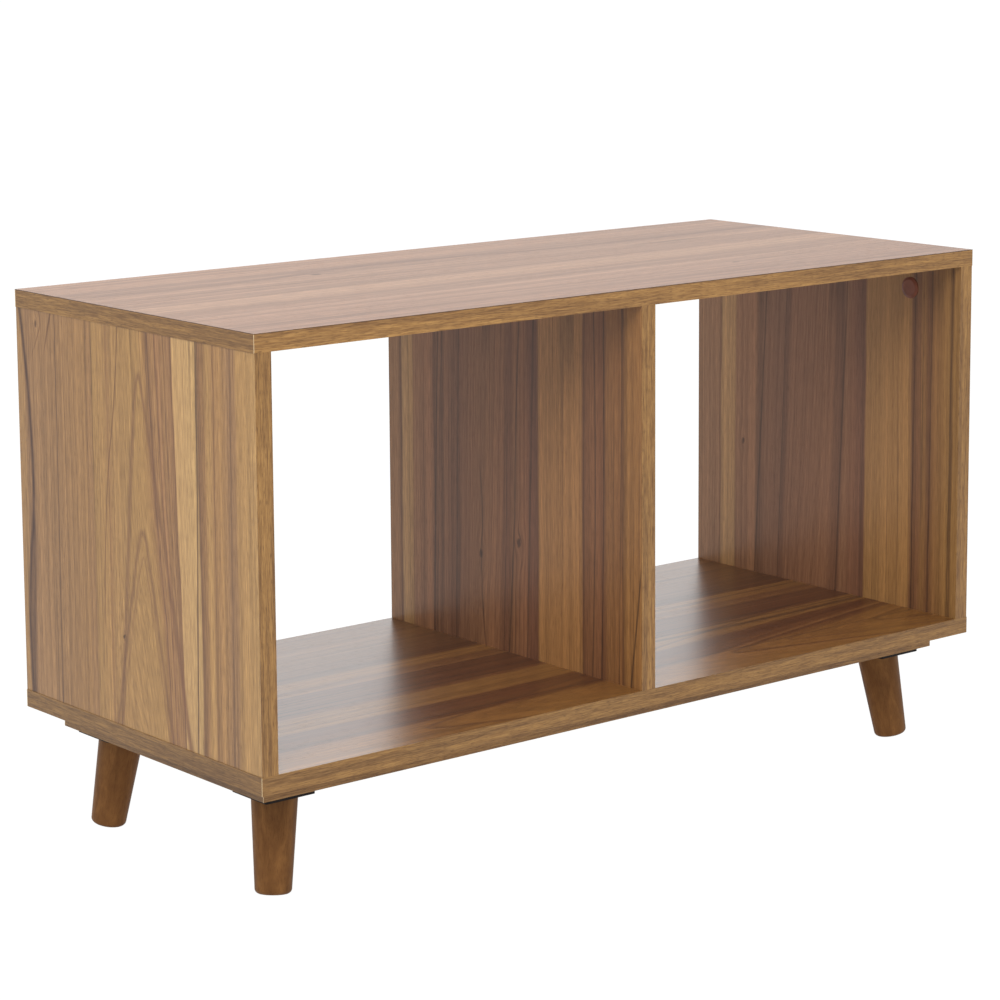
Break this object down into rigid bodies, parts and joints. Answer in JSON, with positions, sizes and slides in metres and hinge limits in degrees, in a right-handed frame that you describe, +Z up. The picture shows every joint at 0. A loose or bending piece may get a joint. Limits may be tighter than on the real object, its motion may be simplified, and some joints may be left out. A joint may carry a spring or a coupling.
{
  "type": "cube storage unit",
  "caption": "Low open storage unit with square cubes side by side under a flat top, on a recessed base with short splayed round wooden legs.",
  "frame": {"origin": "middle of the footprint, on the floor", "axes": "+X along the width to the right, -Y towards the front, +Z up"},
  "size_m": [0.8, 0.35, 0.462],
  "materials": {
    "laminate": "satin printed walnut laminate on board",
    "edge_band": "satin printed walnut edge band",
    "leg_wood": "stained and satin lacquered solid wood",
    "plate_plastic": "matt black moulded",
    "cap_plastic": "brown moulded",
    "zinc_steel": "zinc plated",
    "black_steel": "black plated",
    "cam_zinc": "die-cast zinc",
    "dowel_wood": "bare beech"
  },
  "bodies": {
    "root": {"bottom_dowels": "dowel_wood", "bottom_panel": "laminate", "bottom_panel_band_back": "edge_band", "bottom_panel_band_front": "edge_band", "bottom_panel_band_left": "edge_band", "bottom_panel_band_right": "edge_band", "cam_bolts": "zinc_steel", "cam_caps": "cap_plastic", "cam_locks": "cam_zinc", "confirmat_screws": "zinc_steel", "divider": "laminate", "divider_band_back": "edge_band", "divider_band_front": "edge_band", "left_side": "laminate", "left_side_band_back": "edge_band", "left_side_band_front": "edge_band", "leg_back_left": "leg_wood", "leg_back_right": "leg_wood", "leg_bolt_back_left": "zinc_steel", "leg_bolt_back_right": "zinc_steel", "leg_bolt_front_left": "zinc_steel", "leg_bolt_front_right": "zinc_steel", "leg_front_left": "leg_wood", "leg_front_right": "leg_wood", "leg_insert_back_left": "zinc_steel", "leg_insert_back_right": "zinc_steel", "leg_insert_front_left": "zinc_steel", "leg_insert_front_right": "zinc_steel", "leg_plate_back_left": "plate_plastic", "leg_plate_back_right": "plate_plastic", "leg_plate_front_left": "plate_plastic", "leg_plate_front_right": "plate_plastic", "leg_plate_screws_back_left": "black_steel", "leg_plate_screws_back_right": "black_steel", "leg_plate_screws_front_left": "black_steel", "leg_plate_screws_front_right": "black_steel", "right_side": "laminate", "right_side_band_back": "edge_band", "right_side_band_front": "edge_band", "sub_base": "laminate", "sub_base_band_back": "edge_band", "sub_base_band_front": "edge_band", "sub_base_band_left": "edge_band", "sub_base_band_right": "edge_band", "sub_base_screws": "zinc_steel", "top_dowels": "dowel_wood", "top_panel": "laminate", "top_panel_band_back": "edge_band", "top_panel_band_front": "edge_band", "top_panel_band_left": "edge_band", "top_panel_band_right": "edge_band"}
  },
  "joints": []
}
